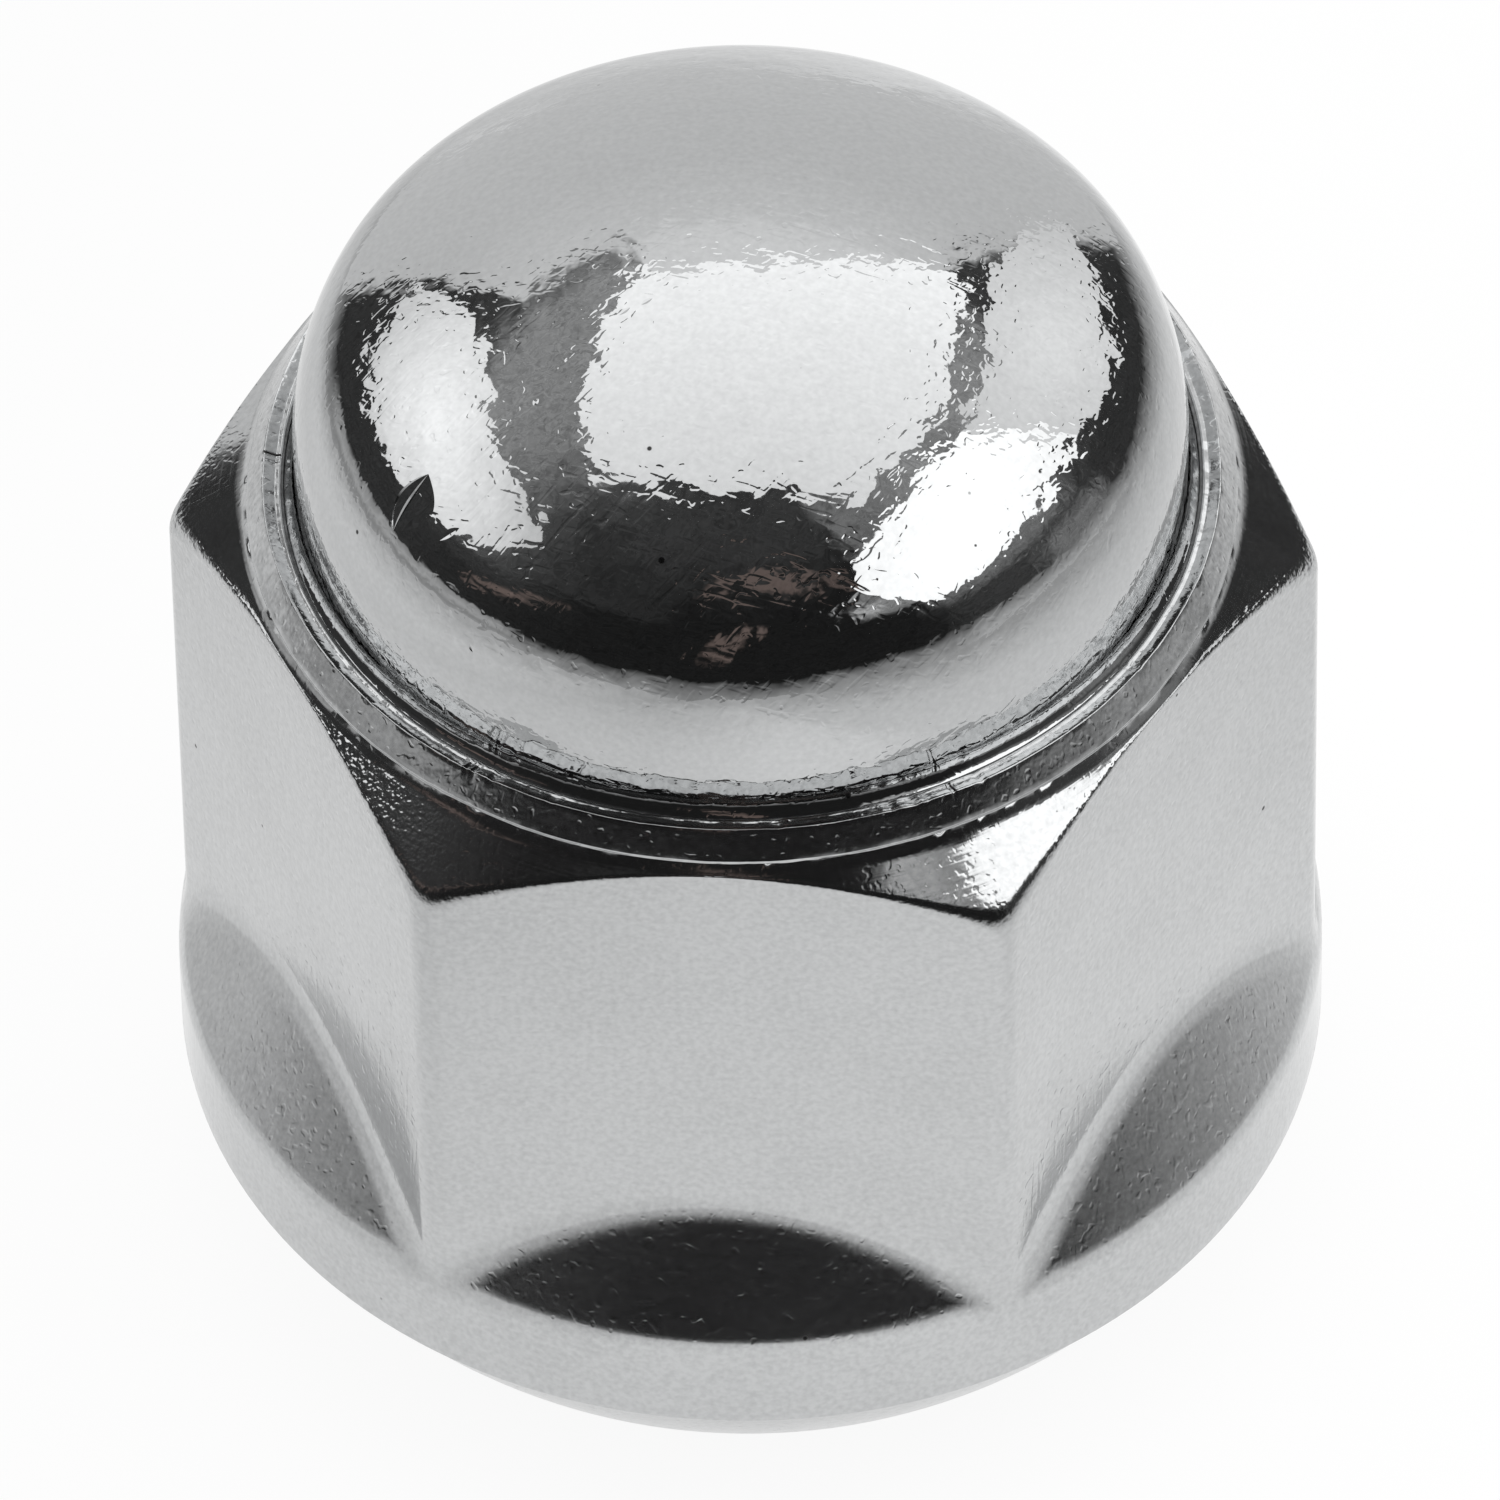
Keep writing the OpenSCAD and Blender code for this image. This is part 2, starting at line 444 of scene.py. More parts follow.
# %% What the room is painted with
PALE_PATCHES = [  # level, then heading, half width and soft edge, then height, half height and soft edge
    (0.3, 42, 6, 6, 51, 4, 5),
    (0.25, 37, 4, 5, 53, 2, 4),
    (0.016, -50, 18, 12, 62, 6, 6),
]
WARM_SMUDGES = [  # heading, height, half width, half height and lean
    (-6, 35, 5, 15, 0.25),
    (1, 52, 4, 9, 0.1),
    (-57, 38, 6, 9, 0.4),
    (-66, 27, 6, 7, 0.3),
]
WARM_COLOUR = (0.25, 0.19, 0.17)
WARM_SHARE = 0.75
HORIZON = 7.5
HORIZON_DIP = 2.5  # how far it sinks in front
NEAR_SLOPE = 0.031  # brightness of the table for each degree below the horizon
FAR_LEVEL, FAR_SLOPE = 0.4, 0.016  # and where it is well below


def dark_cloth(heading, height, creases):
    """The dark cloth in front and at the sides, paler towards the softboxes and uneven with its creases."""
    side = heading.math("ABSOLUTE")
    level = 0.017 + 0.03 * side.above(30, 110) + 0.04 * height.above(60, 76)
    level = level + 0.3 * side.above(62, 118) * height.above(38, 48)
    level = level + 0.02 * side.above(48, 70) * height.near(44, 8, 8)
    for patch, at, wide, soft_side, up, tall, soft_end in PALE_PATCHES:
        level = level + patch * heading.near(at, wide, soft_side) * height.near(up, tall, soft_end)
    haze = heading.above(45, 56) * heading.below(92, 104)
    level = level + haze * (0.03 + 0.15 * height.above(26, 37))
    level = level + 0.17 * heading.near(88, 6, 9) * height.below(16, 30)
    return level * (0.2 + 1.6 * creases)


def pale_wall(height):
    """The grey wall behind, brighter towards the ceiling."""
    return 0.78 + 0.1 * height.ramp(25, 42) + 0.42 * height.ramp(40, 60) + 0.15 * height.below(-22, -10)


def wall_share(heading, height):
    """1 where the pale wall is seen behind. On the left its upper end is in the dark."""
    unlit = (-heading).below(158, 163) * height.above(40, 43)
    return (-heading).above(140, 142) * (1.0 - unlit) + heading.above(144, 148)


def far_table(heading, height, depth, clouds):
    """The table beyond the sheet, paler the farther below the horizon one looks."""
    level = (NEAR_SLOPE * depth).math("MINIMUM", FAR_LEVEL + FAR_SLOPE * depth)
    level = level + 0.17 * heading.near(76, 18, 12) + 0.03 * heading.near(32, 14, 10)
    level = level + 0.33 * heading.near(-88, 28, 12) * height.near(5, 3, 6)
    return level * (0.9 + 0.25 * clouds)


def warm_share(heading, height, clouds):
    """How much of the room's warm things is seen in a direction: one thin bow and a few smudges."""
    bow = height + 0.0045 * (heading - 5.0) * (heading - 5.0)
    warm = 0.9 * bow.near(67.5, 0.4, 1.3) * heading.near(15, 28, 8) * clouds.above(0.3, 0.5)
    for at, middle, wide, tall, lean in WARM_SMUDGES:
        up = (height - middle) / tall
        across = (heading - at - lean * (height - middle)) / wide
        warm = warm + (across * across + up * up).below(0.2, 1.2) * clouds.above(0.36, 0.58)
    return warm


print("pale patches:", len(PALE_PATCHES), "and warm smudges:", len(WARM_SMUDGES))

# %% [markdown]
# ### The tent itself
#
# Heading and height come from the direction with two Math nodes. The tent is shown to reflections only, so it
# neither shades the sheet nor hides the nut from a camera outside it.


# %% Tent
def tent_material():
    """Glowing paint made of the parts above."""
    material = bpy.data.materials.new("tent_cloth")
    s = Shader(material)
    place = s.add("ShaderNodeTexCoord", None, output="Object")
    x, y, z = s.axes(s.vector("NORMALIZE", place))
    height = z.math("ARCSINE") * (180 / math.pi)
    heading = x.math("ARCTAN2", -y) * (180 / math.pi)

    def noise_cloud(size, detail, distortion):
        """Clouds of a size in metres on the tent."""
        settings = {"Scale": 1 / size, "Detail": detail, "Distortion": distortion}
        return s.add("ShaderNodeTexNoise", None, place, output="Fac", **settings)

    clouds = noise_cloud(size=TENT_RADIUS / 9.0, detail=2.0, distortion=0.0)
    creases = noise_cloud(size=TENT_RADIUS / 38.0, detail=3.0, distortion=0.6)
    behind = wall_share(heading, height)
    dark = dark_cloth(heading, height, creases)
    room = dark + (pale_wall(height) - dark) * behind
    depth = HORIZON - height - HORIZON_DIP * heading.near(0, 8, 14)
    table = far_table(heading, height, depth, clouds)
    on_table = (4.0 * (clouds - 0.5) - depth).below(-1.5, 1.0) * (1.0 - behind)
    room = room + (table.math("MAXIMUM", room) - room) * on_table
    colour = s.mix(WARM_SHARE * warm_share(heading, height, clouds), s.grey(room), WARM_COLOUR)
    light = s.add("ShaderNodeEmission", None, colour, 1.0)
    s.node("ShaderNodeOutputMaterial", None, Surface=light)
    return material


ball = bmesh.new()
bmesh.ops.create_uvsphere(ball, u_segments=64, v_segments=32, radius=TENT_RADIUS)
bmesh.ops.reverse_faces(ball, faces=ball.faces)
ball_faces = [[v.index for v in face.verts] for face in ball.faces]
tent = stage_mesh("tent", [v.co for v in ball.verts], ball_faces, tent_material())
ball.free()
tent.rotation_euler.z = math.radians(CAMERA_HEADING)
tent.visible_camera = False
tent.visible_diffuse = False
tent.visible_transmission = False
tent.visible_shadow = False
print("tent faces:", len(tent.data.polygons))

# %% [markdown]
# ## The plating
#
# Chrome plate is thin and follows the steel below it, so it shows that steel's grain, its scratches and the
# nicks of handling. Two helpers draw such marks as heights: a streak is a cloud that is drawn out along one
# direction, and a groove is a leaf-shaped mark with a sharp line between two slopes, as a knock leaves it.

# %% Streaks and grooves
CHROME = (0.560, 0.568, 0.572)
DOME_MIDDLE = Vector((0.0, 0.0, 15.0))
THINNEST = 0.001
MICRON = 0.001 * MM


def drawn_out(s, place, along, length, width):
    """Coordinates in which a cloud becomes a streak of this length and width along one direction."""
    axis = tuple(Vector(along).normalized())
    run = s.vector("DOT_PRODUCT", place, axis, output="Value")
    shift = s.vector("SCALE", axis, Scale=run * (1 / length - 1 / width))
    return s.vector("MULTIPLY_ADD", place, (1 / width,) * 3, shift)


def groove(s, place, start, end, bow, left, right):
    """A leaf-shaped mark from start to end: 1 at its line, which bows to the left, and 0 at its two sides."""
    start, end = Vector(start), Vector(end)
    along = end - start
    outward = (start + end) / 2 - DOME_MIDDLE
    across = outward.cross(along).normalized()
    from_start = s.vector("SUBTRACT", place, tuple(start))
    run = s.vector("DOT_PRODUCT", from_start, tuple(along), output="Value") / along.length_squared
    width = (4.0 * run * (1.0 - run)).math("MAXIMUM", THINNEST)
    aside = s.vector("DOT_PRODUCT", from_start, tuple(across), output="Value") + bow * width
    left_slope, right_slope = aside.ramp(-left * width, 0.0), 1.0 - aside.ramp(0.0, right * width)
    return left_slope.math("MINIMUM", right_slope) * width


print("chrome reflects", CHROME)

# %% [markdown]
# ### One function for every finish
#
# The finishes differ only in amounts: how deep the grain is, how wavy the surface, how many specks, scratches
# and pits it has. The base colour is chrome's own reflectance, a little over one half. Three marks that the
# meshes carry steer where it is worn: "edge" chips the plate at corners, "dull" is the rough, darker skin of
# the forging and of unpolished steel, and where it is far above 1 it is painted shade, and "machined" is
# smooth with turning marks. All heights are added up in thousandths of a millimetre and go through one Bump
# node.

# %% Chrome
PATCH_SIZE = 2.2
WAVE_SIZE = 1.7
SPECK_SIZE = 0.15
FINE_SIZE = 0.08
CHIP_SIZE = 0.11
SKIN_PIT_SIZE = 0.2
SKIN_PIT_DEPTH = 3.2
TURNING_DEPTH = 2.2
TURNING_LINES = 16.0  # per millimetre of radius
STAIN_SIZE = 0.12
PIT_SPACING = 1 / 1.1
PIT_SHARE = 0.25
PIT_SHADE = (0.05, 0.05, 0.05)


def plating(
    name, grain, fine, waves, specks, streaks, roughness,
    tone=CHROME, mottle=0.08, chips=0.0, grain_size=0.34, marks=(),
):
    """A chrome finish. grain, fine, waves, specks, chips and the depths are thousandths of a mm."""
    material = bpy.data.materials.new(name)
    s = Shader(material)
    metres = s.add("ShaderNodeTexCoord", None, output="Object")
    place = s.vector("SCALE", metres, Scale=1 / MM)

    def cloud(size, detail=0.0, at=place):
        """A cloudy value from 0 to 1, about one half in the mean, with lumps of a size in mm."""
        return s.add("ShaderNodeTexNoise", None, at, Scale=1 / size, Detail=detail, output="Fac")

    def mark(attribute):
        """A mark of the mesh."""
        return s.add("ShaderNodeAttribute", {"attribute_name": attribute}, output="Fac")

    patches, dull, machined = cloud(PATCH_SIZE, 1.0), mark("dull"), mark("machined")
    height = grain * cloud(grain_size, 0.6) * (0.4 + 1.2 * patches) + fine * cloud(FINE_SIZE)
    height = (height - specks * cloud(SPECK_SIZE).above(0.66, 0.84)) * (1.0 - 0.6 * machined)
    height = height + waves * cloud(WAVE_SIZE)
    for along, length, width, depth in streaks:
        streak = cloud(1.0, at=drawn_out(s, place, along, length, width))
        height = height - depth * streak.above(0.55, 0.8)
    if chips:
        height = height + SKIN_PIT_DEPTH * dull * cloud(SKIN_PIT_SIZE).above(0.66, 0.86)
        height = height + chips * mark("edge") * cloud(CHIP_SIZE, 1.0)
        x, y, _ = s.axes(place)
        lines = TURNING_LINES * (x * x + y * y).math("SQRT")
        turning = s.add("ShaderNodeCombineXYZ", None, lines, 3.0 * y.math("ARCTAN2", x), 0.0)
        height = height + TURNING_DEPTH * machined * cloud(1.0, 1.0, at=turning)
    for start, end, bow, left, right, depth in marks:
        height = height - depth * groove(s, place, start, end, bow, left, right)
    bump = s.add("ShaderNodeBump", None, Height=height, Distance=MICRON, Strength=1.0)

    spot = s.node("ShaderNodeTexVoronoi", {"feature": "F1"}, place, Scale=1 / PIT_SPACING)
    size, kind, _ = s.axes(Value(s, spot.outputs["Color"]))
    from_spot = Value(s, spot.outputs["Distance"]) - 0.05 * size
    pit = from_spot.below(0.01, 0.04) * kind.below(PIT_SHARE, PIT_SHARE + 0.02)
    # darker colour from mottling and the dull mark; a dull mark far above 1 is painted shade
    shade = 0.06 + mottle * (patches - 0.5) + 4.0 * mottle * (cloud(STAIN_SIZE, 1.0) - 0.5) + 0.14 * dull
    colour = s.mix(shade, tuple(1.06 * c for c in tone), (0.0, 0.0, 0.0))
    colour = s.mix(pit, colour, PIT_SHADE)
    gloss = roughness * (0.75 + 0.5 * patches) + 0.2 * pit + 0.07 * dull - 0.05 * machined
    metal = s.add(
        "ShaderNodeBsdfPrincipled", None, Base_Color=colour, Metallic=1.0, Roughness=gloss, Normal=bump
    )
    s.node("ShaderNodeOutputMaterial", None, Surface=metal)
    return material


print("pits: one cell in", round(1 / PIT_SHARE), "has one, and cells are", round(PIT_SPACING, 2), "mm wide")

# %% [markdown]
# ### The four finishes
#
# The cap was polished before plating and is the best mirror, with scratches and a few knocks on its front.
# The body is duller and chipped at its corners. The lip shows torn steel, and the thread has no chrome.

# %% Finishes of the nut
UP_RIGHT = (0.64, 0.57, 0.51)
FLAT_RIGHT = (0.966, -0.19, -0.17)
UPRIGHT = (0.1, 0.0, 1.0)
NICK = ((-5.514, -4.131, 22.953), (-6.136, -4.853, 22.14))
DOME_MARKS = [  # start, end, bow, width to the left and to the right, in mm, and depth in thousandths of a mm
    (*NICK, 0.25, 0.05, 0.85, 110.0),
    (*NICK, 0.0, 0.05, 0.04, -22.0),
    ((-5.225, -5.381, 22.506), (-4.862, -5.276, 22.759), 0.0, 0.06, 0.1, 14.0),
    ((-3.60, -3.30, 24.04), (-3.50, -3.18, 24.09), 0.0, 0.05, 0.07, 8.0),
    ((-5.20, -0.42, 23.88), (-5.10, -0.26, 23.92), 0.0, 0.04, 0.06, 8.0),
    ((-1.70, -1.40, 24.84), (-1.50, -1.26, 24.86), 0.0, 0.04, 0.06, 8.0),
    ((-2.10, -1.60, 24.75), (-1.90, -1.44, 24.79), 0.0, 0.04, 0.06, 8.0),
    ((-4.60, -6.84, 21.28), (-4.53, -6.89, 21.14), 0.0, 0.05, 0.06, 16.0),
]
body_chrome = plating(
    "body_chrome", grain=4.0, fine=0.6, waves=4.0, specks=3.0, roughness=0.14, chips=34.0,
    tone=tuple(0.965 * c for c in CHROME), streaks=[(UPRIGHT, 1.6, 0.12, 1.2)],
)
cap_chrome = plating(
    "cap_chrome", grain=12.0, fine=0.3, waves=4.0, specks=2.0, roughness=0.03, grain_size=0.45, mottle=0.05,
    streaks=[(UP_RIGHT, 0.7, 0.12, 1.0), (FLAT_RIGHT, 0.6, 0.12, 1.0)], marks=DOME_MARKS,
)
lip_steel = plating(
    "lip_steel", grain=6.0, fine=1.5, waves=2.0, specks=6.0, roughness=0.12, mottle=0.16,
    streaks=[(UPRIGHT, 0.3, 0.1, 2.0)],
)
thread_steel = plating(
    "thread_steel", grain=4.0, fine=1.0, waves=0.0, specks=0.0, roughness=0.2, tone=(0.38, 0.38, 0.38),
    streaks=[(UPRIGHT, 0.3, 0.1, 2.0)],
)
BODY_FINISHES = [body_chrome, lip_steel, thread_steel]
CHROME_SLOT, LIP_SLOT, THREAD_SLOT = range(len(BODY_FINISHES))
print("finishes:", [m.name for m in (*BODY_FINISHES, cap_chrome)])

# %% [markdown]
# ## Skins made of rings
#
# Both pieces are round things with a section, so both are laid up ring by ring: each point of the section
# becomes a ring, and quads join one ring to the next. A ring needn't be a circle, which is what makes the
# hexagon possible. Each point also carries the marks that the finishes ask for.

# %% Skin
MARKS = ("edge", "dull", "machined")
WELD = 0.0004 * MM
THIN_FACE = 0.0002 * MM


class Skin:
    """Collects rings of points in millimetres and the faces between them."""

    def __init__(self):
        self.points = []
        self.faces = []
        self.slots = []
        self.marks = {mark: [] for mark in MARKS}

    def ring(self, r, z, angle, **marks):
        """A ring of points, with marks that are 0 unless given."""
        first = len(self.points)
        r, z, angle = np.broadcast_arrays(r, z, angle)
        self.points += list(zip(r * np.cos(angle), r * np.sin(angle), z))
        for mark, values in self.marks.items():
            values += list(np.broadcast_to(marks.get(mark, 0.0), r.shape))
        return np.arange(first, len(self.points))

    def face(self, *corners, slot=0):
        """One face with a material slot."""
        self.faces.append(corners)
        self.slots.append(slot)

    def quads(self, low, high, slot=0):
        """Joins two rings that have the same number of points."""
        for i, j in enumerate(np.roll(np.arange(len(low)), -1)):
            self.face(low[i], low[j], high[j], high[i], slot=slot)

    def stitch(self, coarse, fine, inwards=False):
        """Joins a ring to one that has a whole number of times as many points."""
        times = len(fine) // len(coarse)
        for i in range(len(coarse)):
            j = (i + 1) % len(coarse)
            run = [fine[(times * i + k) % len(fine)] for k in range(times + 1)]
            corners = (coarse[i], coarse[j], *reversed(run))
            self.face(*(reversed(corners) if inwards else corners))

    def lid(self, ring, z):
        """Closes a ring with triangles to a point on the axis."""
        self.points.append((0.0, 0.0, z))
        for values in self.marks.values():
            values.append(0.0)
        for i in range(len(ring)):
            self.face(ring[i], ring[(i + 1) % len(ring)], len(self.points) - 1)

    def piece(self, name, node, finishes):
        """Welds the skin and hands it over as a piece that stands for a CAD node."""
        mesh = bpy.data.meshes.new(name)
        points = np.array(self.points) * MM
        mesh.from_pydata(points.tolist(), [], [tuple(int(i) for i in face) for face in self.faces])
        for mark, values in self.marks.items():
            mesh.attributes.new(mark, "FLOAT", "POINT").data.foreach_set("value", values)
        for finish in finishes:
            mesh.materials.append(finish)
        mesh.polygons.foreach_set("material_index", self.slots)
        shape = bmesh.new()
        shape.from_mesh(mesh)
        bmesh.ops.remove_doubles(shape, verts=shape.verts, dist=WELD)
        bmesh.ops.dissolve_degenerate(shape, edges=shape.edges, dist=THIN_FACE)
        loose = [v for v in shape.verts if not v.link_faces]
        bmesh.ops.delete(shape, geom=loose, context="VERTS")
        open_edges = sum(not e.is_manifold for e in shape.edges)
        shape.to_mesh(mesh)
        shape.free()
        mesh.shade_smooth()
        made = bpy.data.objects.new(name, mesh)
        bpy.context.collection.objects.link(made)
        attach(made, "root")
        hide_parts(node)
        triangles = sum(len(p.vertices) - 2 for p in mesh.polygons)
        print(name, "has", triangles, "triangles and", open_edges, "open edges")


print("a skin's points carry", MARKS)

# %% [markdown]
# ### Sections with true arcs
#
# A mirror shows every flat facet, so the corners of a section are arcs. The helper below takes the sharp
# corners, which may differ from column to column, and puts an arc with its own radius into each inner one.

# %% Rounded section
STRAIGHT = 0.999999
ARC_SHARE = 0.48  # an arc takes no more than this share of the shorter side next to it


def corner_arc(before, corner, after, radius, steps):
    """The points of an arc in a corner, ends included."""
    back, ahead = before - corner, after - corner
    back_len = np.linalg.norm(back, axis=-1, keepdims=True)
    ahead_len = np.linalg.norm(ahead, axis=-1, keepdims=True)
    back, ahead = back / back_len, ahead / ahead_len
    half = np.arccos(np.clip((back * ahead).sum(-1, keepdims=True), -STRAIGHT, STRAIGHT)) / 2
    radius = np.broadcast_to(np.asarray(radius, float).reshape(-1, 1), half.shape)
    reach = np.minimum(radius / np.tan(half), ARC_SHARE * np.minimum(back_len, ahead_len))
    radius = reach * np.tan(half)
    middle = (back + ahead) / np.linalg.norm(back + ahead, axis=-1, keepdims=True)
    centre = corner + middle * radius / np.sin(half)
    first, last = (corner + back * reach - centre) / radius, (corner + ahead * reach - centre) / radius
    sweep = np.pi - 2 * half
    done = [step / steps for step in range(steps + 1)]
    arc = [first * np.sin((1 - t) * sweep) + last * np.sin(t * sweep) for t in done]
    return [centre + radius * way / np.sin(sweep) for way in arc]


def rounded(corners, radii, arc_steps, line_steps):
    """A section through corners of shape (corner, ring point, 2), with each inner corner made an arc."""
    corners = np.asarray(corners, float)
    if corners.ndim == 2:
        corners = corners[:, None, :]
    inner = zip(corners, corners[1:], corners[2:], radii, arc_steps)
    runs = [[corners[0]], *(corner_arc(*each) for each in inner), [corners[-1]]]
    rows = []
    for run, after, steps in zip(runs, runs[1:], line_steps):
        rows += run[:-1]
        rows += [run[-1] + (after[0] - run[-1]) * k / steps for k in range(steps)]
    return np.array(rows + [corners[-1]])


print("section helper ready")

# %% [markdown]
# ## The nut's body: a hexagon that runs into a round collar
#
# The body is forged from bar and then turned, so a section through it changes as one goes round. Under the
# middle of a flat the scallop is deep, and at a corner it is almost gone. Each column of points gets its own
# section: the flat's distance from the axis at that angle says where the scallop ends and where the chamfer
# starts. The columns are packed closely at the six rounded corners.

# %% Columns round the hexagon
CORNER_STEPS = 7
FLAT_STEPS = 26
SIDES = 6
half_side = math.pi / SIDES
corner_centre = (FLAT_R - CORNER_R) / math.cos(half_side)
tangent = math.atan2(CORNER_R * math.sin(half_side), corner_centre + CORNER_R * math.cos(half_side))
flat_angles = np.linspace(-(half_side - tangent), half_side - tangent, FLAT_STEPS, endpoint=False)
corner_angles = half_side + np.linspace(-tangent, tangent, 2 * CORNER_STEPS, endpoint=False)
one_side = np.concatenate([flat_angles, corner_angles])
from_flat = np.tile((one_side + half_side) % (2 * half_side) - half_side, SIDES)
columns = np.concatenate([one_side + 2 * half_side * k - math.pi / 2 for k in range(SIDES)])


def hexagon_radius(offset):
    """Distance of the rounded hexagon from the axis at an angle from the middle of a flat."""
    from_corner = half_side - np.abs(offset)
    straight = FLAT_R / np.cos(offset)
    inside = np.maximum(CORNER_R**2 - (corner_centre * np.sin(from_corner)) ** 2, 0)
    arc = corner_centre * np.cos(from_corner) + np.sqrt(inside)
    return np.where(from_corner < tangent, arc, straight)


hexagon = hexagon_radius(from_flat)
towards_corner = (hexagon - FLAT_R) / (hexagon.max() - FLAT_R)
print(len(columns), "columns, hexagon from", round(hexagon.min(), 2), "to", round(hexagon.max(), 2), "mm")

# %% [markdown]
# ### The scallop
#
# Above the collar each flat is hollowed by a cone. A bend leads from the collar into the cone and a wide soft
# blend leads from the cone into the flat. Both are arcs, and where the way from the collar to the hexagon
# gets short, near the corners, the arcs lean less and the cone between them vanishes.

# %% Scallop between collar and flat
BLEND_R = 1.6
BLEND_R_CORNER = 3.2
COLLAR_BEND_R = 0.8
COLLAR_BEND_R_CORNER = 1.6
COLLAR_BEND_DROP = 0.18
COLLAR_BEND_LEAN = math.radians(24.4)
BEND_ROWS, CONE_ROWS, BLEND_ROWS = 12, 6, 14

low_bend = COLLAR_BEND_R + (COLLAR_BEND_R_CORNER - COLLAR_BEND_R) * towards_corner
high_bend = BLEND_R + (BLEND_R_CORNER - BLEND_R) * towards_corner
both_bends = low_bend + high_bend
way_in = COLLAR_R - hexagon
lean = np.minimum(SCALLOP_LEAN, np.arccos(np.clip(1 - way_in / both_bends, -1, 1)))
cone_length = np.maximum(way_in - both_bends * (1 - np.cos(lean)), 0) / np.sin(lean)
bend_z = COLLAR_TOP_Z - COLLAR_BEND_DROP - low_bend * math.sin(COLLAR_BEND_LEAN)


def shares(rows, first=0, last=1):
    """Even shares from first to last, one for each row."""
    return np.linspace(first, last, rows + 1)[:, None]


rise = lean * shares(BEND_ROWS)
bend = np.stack([COLLAR_R - low_bend * (1 - np.cos(rise)), bend_z + low_bend * np.sin(rise)], axis=-1)
cone_way = np.stack([-cone_length * np.sin(lean), cone_length * np.cos(lean)], axis=-1)
cone = bend[-1] + shares(CONE_ROWS)[:, :, None] * cone_way
fall = lean * shares(BLEND_ROWS, 1, 0)
blend_r = hexagon + high_bend * (1 - np.cos(fall))
blend = np.stack([blend_r, cone[-1, :, 1] + high_bend * (np.sin(lean) - np.sin(fall))], axis=-1)
scallop = np.concatenate([bend[1:], cone[1:], blend[1:]])
print("scallop:", len(scallop), "rows, its cone up to", round(cone_length.max(), 2), "mm long")

# %% [markdown]
# ### Seat, collar, flat and chamfer
#
# From the end face upwards: the ball seat as an arc, the collar's band, the scallop, the flat, and the
# chamfer up to the foot of the lip. The chamfer's corner is a small worn round that gets wider at the
# hexagon's corners, where wheel wrenches slip.

# %% Section of the body's outside
CHAMFER_END_R = FLAT_R - 0.03
EDGE_R = 0.17
EDGE_R_CORNER = 0.75
EDGE_ROWS, FLAT_ROWS, CHAMFER_ROWS = 8, 12, 8
COLLAR_FOOT_R = 0.12
COUNTERSINK_R = 6.4
SEAT_EDGE = 0.08
SEAT_ROWS = 15


def everywhere(r, z):
    """A section corner in every column, from a radius and a height that may be the same in all of them."""
    return np.stack(np.broadcast_arrays(r, z, hexagon)[:2], axis=-1)


def chamfer_z(r):
    """Height of the chamfer's cone at a distance from the axis."""
    return HEX_TOP_Z - (r - FLAT_R) * CHAMFER_SLOPE


seat_centre_z = math.sqrt(SEAT_BALL_R**2 - SEAT_FACE_R**2)
seat_foot = math.asin(seat_centre_z / SEAT_BALL_R)
seat_top = math.asin((seat_centre_z - SEAT_H) / SEAT_BALL_R)
seat_turns = [seat_foot + (seat_top - seat_foot) * k / SEAT_ROWS for k in range(SEAT_ROWS + 1)]
end_face = [(r, 0.0) for r in np.linspace(COUNTERSINK_R, SEAT_FACE_R - SEAT_EDGE, 4)]
seat = [(SEAT_BALL_R * math.cos(a), seat_centre_z - SEAT_BALL_R * math.sin(a)) for a in seat_turns]

collar = rounded(
    [
        everywhere(COLLAR_R - COLLAR_EDGE, SEAT_H),
        everywhere(COLLAR_R, COLLAR_LOW_Z),
        everywhere(COLLAR_R, bend_z),
    ],
    radii=[COLLAR_FOOT_R],
    arc_steps=[3],
    line_steps=[2, 6],
)
flat = rounded(
    [
        blend[-1],
        everywhere(hexagon, chamfer_z(hexagon)),
        everywhere(CHAMFER_END_R, chamfer_z(CHAMFER_END_R)),
    ],
    radii=[EDGE_R + (EDGE_R_CORNER - EDGE_R) * towards_corner**2],
    arc_steps=[EDGE_ROWS],
    line_steps=[FLAT_ROWS, CHAMFER_ROWS],
)
outside = np.concatenate([collar, scallop, flat[1:]])
print("outside of the body:", len(outside), "rows above the seat")

# %% [markdown]
# ### Wear on the body
#
# The finishes ask where the body is chipped, forged or machined. The chamfer's corner is chipped most, though
# less at the front, and a stretch of the chamfer itself is rubbed. The scallop keeps the forging's rough skin
# under the flats. The collar's band and the chamfer show the lathe's turning marks.

# %% Rings of the body's outside
WORN_ROWS = 3.5
FORGED_ROWS = range(len(collar) + 9, len(collar) + 24)
CALM_FRONT = (-37, 31)  # headings between which the chamfer's corner is little chipped
CALM_SHARE = 0.25
CALM_SOFT = 8
RUBBED = (-62, -33)  # headings between which the chamfer is rubbed
RUBBED_SHARE = 0.42
RUBBED_SOFT = 10

edge_row = len(outside) - 1 - CHAMFER_ROWS - EDGE_ROWS // 2
heading = (np.degrees(columns) + 90 - CAMERA_HEADING + 180) % 360 - 180
front_middle, front_half = sum(CALM_FRONT) / 2, (CALM_FRONT[1] - CALM_FRONT[0]) / 2
beyond_front = np.clip((np.abs(heading - front_middle) - front_half) / CALM_SOFT, 0, 1)
chipped = CALM_SHARE + (1 - CALM_SHARE) * beyond_front
rubbed = RUBBED_SHARE * np.clip((RUBBED[1] - heading) / RUBBED_SOFT, 0, 1) * (heading > RUBBED[0])

